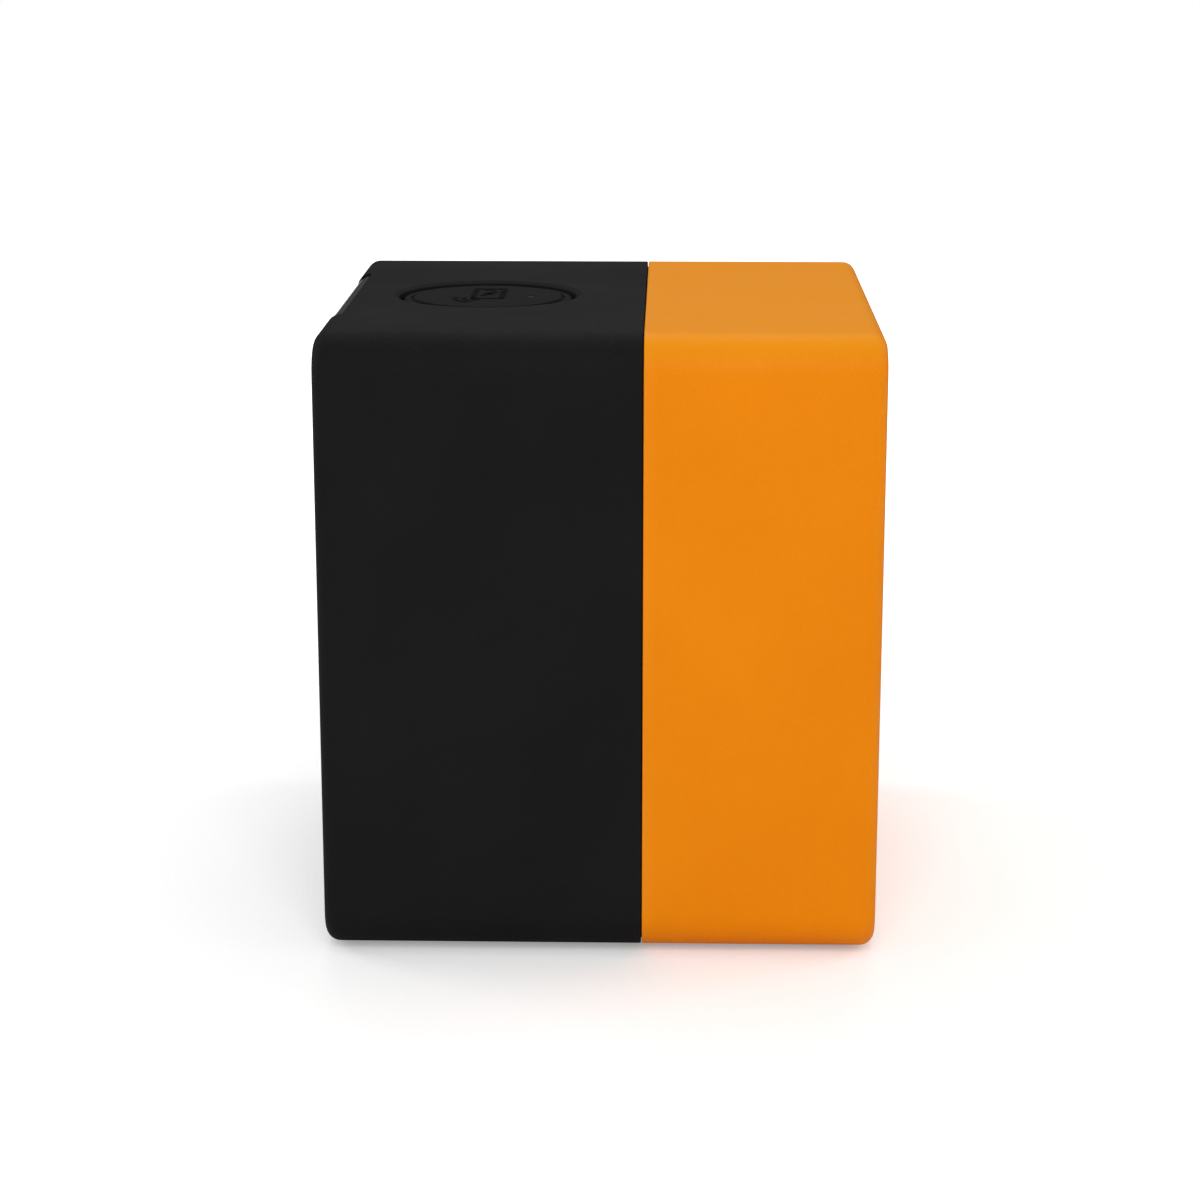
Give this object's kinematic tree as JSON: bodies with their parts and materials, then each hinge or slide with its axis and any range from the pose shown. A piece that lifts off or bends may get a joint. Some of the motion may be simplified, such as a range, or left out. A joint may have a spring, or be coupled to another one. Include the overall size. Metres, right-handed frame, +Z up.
{
  "type": "portable power station",
  "caption": "Compact box-shaped camping power station: black front tub with sockets, display and a recessed charging pad on top, orange rear tub with a cooling grille.",
  "frame": {"origin": "on the ground, under the middle of the case", "axes": "+Z up, -Y out of the control panel, +Y out of the cooling grille, +X to the right of someone facing the panel"},
  "size_m": [0.18, 0.17, 0.193],
  "materials": {
    "black_case": "fine moulded texture, matt black",
    "orange_case": "fine moulded texture, satin orange",
    "dark_plastic": "smooth, semi-matt black",
    "smoked_window": "polished, smoked",
    "pad_rubber": "soft-touch, matt",
    "soft_rubber": "matt",
    "key_plastic": "satin grey",
    "frosted_lens": "frosted, translucent",
    "white_plastic": "smooth, off-white",
    "nickel": "plated, slightly brushed",
    "steel": "zinc plated",
    "copper": "bare copper",
    "aluminium": "extruded, bare",
    "cell_wrap": "blue film over an aluminium can",
    "circuit_board": "solder mask",
    "ferrite": "ferrite and lacquered wire",
    "black_insulation": "smooth sleeve",
    "red_insulation": "smooth sleeve"
  },
  "bodies": {
    "case": {"front_shell": "black_case", "rear_shell": "orange_case", "front_panel": "dark_plastic", "exhaust_grille": "dark_plastic", "ac_outlet_left": "dark_plastic", "ac_outlet_right": "dark_plastic", "car_socket": "dark_plastic", "dc_output_jack_1": "dark_plastic", "dc_output_jack_2": "dark_plastic", "dc_input_jack": "dark_plastic", "fan_frame": "dark_plastic", "battery_tray": "dark_plastic", "display_window": "smoked_window", "charging_pad": "pad_rubber", "foot_front_left": "soft_rubber", "foot_front_right": "soft_rubber", "foot_rear_left": "soft_rubber", "foot_rear_right": "soft_rubber", "lamp_lens": "frosted_lens", "pad_light_pipe": "frosted_lens", "usb_a_tongue_1": "white_plastic", "usb_a_tongue_2": "white_plastic", "usb_c_tongue_1": "white_plastic", "usb_c_tongue_2": "white_plastic", "usb_a_port_1": "nickel", "usb_a_port_2": "nickel", "usb_c_port_1": "nickel", "usb_c_port_2": "nickel", "case_screw_1": "steel", "case_screw_2": "steel", "case_screw_3": "steel", "case_screw_4": "steel", "car_socket_contact": "steel", "busbar_1": "copper", "busbar_2": "copper", "busbar_3": "copper", "charging_coil": "copper", "heatsink": "aluminium", "battery_cell_1": "cell_wrap", "battery_cell_2": "cell_wrap", "battery_cell_3": "cell_wrap", "battery_cell_4": "cell_wrap", "control_board": "circuit_board", "display_module": "circuit_board", "bms_board": "circuit_board", "inverter_board": "circuit_board", "inverter_transformer": "ferrite", "bulk_capacitor": "black_insulation", "battery_lead_negative": "black_insulation", "battery_lead_positive": "red_insulation"},
    "power_button": {"power_button": "key_plastic"},
    "lamp_button": {"lamp_button": "key_plastic"},
    "ac_button": {"ac_button": "key_plastic"},
    "dc_button": {"dc_button": "key_plastic"},
    "usb_button": {"usb_button": "key_plastic"},
    "car_socket_cover": {"car_socket_cover": "soft_rubber"},
    "dc_input_cover": {"dc_input_cover": "soft_rubber"},
    "ac_shutter_left": {"ac_shutter_left": "white_plastic"},
    "ac_shutter_right": {"ac_shutter_right": "white_plastic"},
    "fan_rotor": {"fan_rotor": "dark_plastic"}
  },
  "joints": [
    {"name": "power_button_press", "type": "slide", "parent": "case", "child": "power_button", "axis": [0, 1, 0], "range_m": [0, 0.001], "stiffness_N_per_m": 800},
    {"name": "lamp_button_press", "type": "slide", "parent": "case", "child": "lamp_button", "axis": [0, 1, 0], "range_m": [0, 0.001], "stiffness_N_per_m": 800},
    {"name": "ac_button_press", "type": "slide", "parent": "case", "child": "ac_button", "axis": [0, 1, 0], "range_m": [0, 0.001], "stiffness_N_per_m": 800},
    {"name": "dc_button_press", "type": "slide", "parent": "case", "child": "dc_button", "axis": [0, 1, 0], "range_m": [0, 0.001], "stiffness_N_per_m": 800},
    {"name": "usb_button_press", "type": "slide", "parent": "case", "child": "usb_button", "axis": [0, 1, 0], "range_m": [0, 0.001], "stiffness_N_per_m": 800},
    {"name": "car_socket_cover_hinge", "type": "hinge", "parent": "case", "child": "car_socket_cover", "pos_m": [0.0414, -0.0824, 0.059], "axis": [-1, 0, 0], "range_deg": [0, 100]},
    {"name": "dc_input_cover_hinge", "type": "hinge", "parent": "case", "child": "dc_input_cover", "pos_m": [-0.0579, -0.0824, 0.0535], "axis": [-1, 0, 0], "range_deg": [0, 100]},
    {"name": "ac_shutter_left_slide", "type": "slide", "parent": "case", "child": "ac_shutter_left", "axis": [1, 0, 0], "range_m": [0, 0.0032], "stiffness_N_per_m": 200},
    {"name": "ac_shutter_right_slide", "type": "slide", "parent": "case", "child": "ac_shutter_right", "axis": [1, 0, 0], "range_m": [0, 0.0032], "stiffness_N_per_m": 200},
    {"name": "fan_spin", "type": "hinge", "parent": "case", "child": "fan_rotor", "pos_m": [0, 0.0737, 0.156], "axis": [0, 1, 0], "continuous": true}
  ]
}
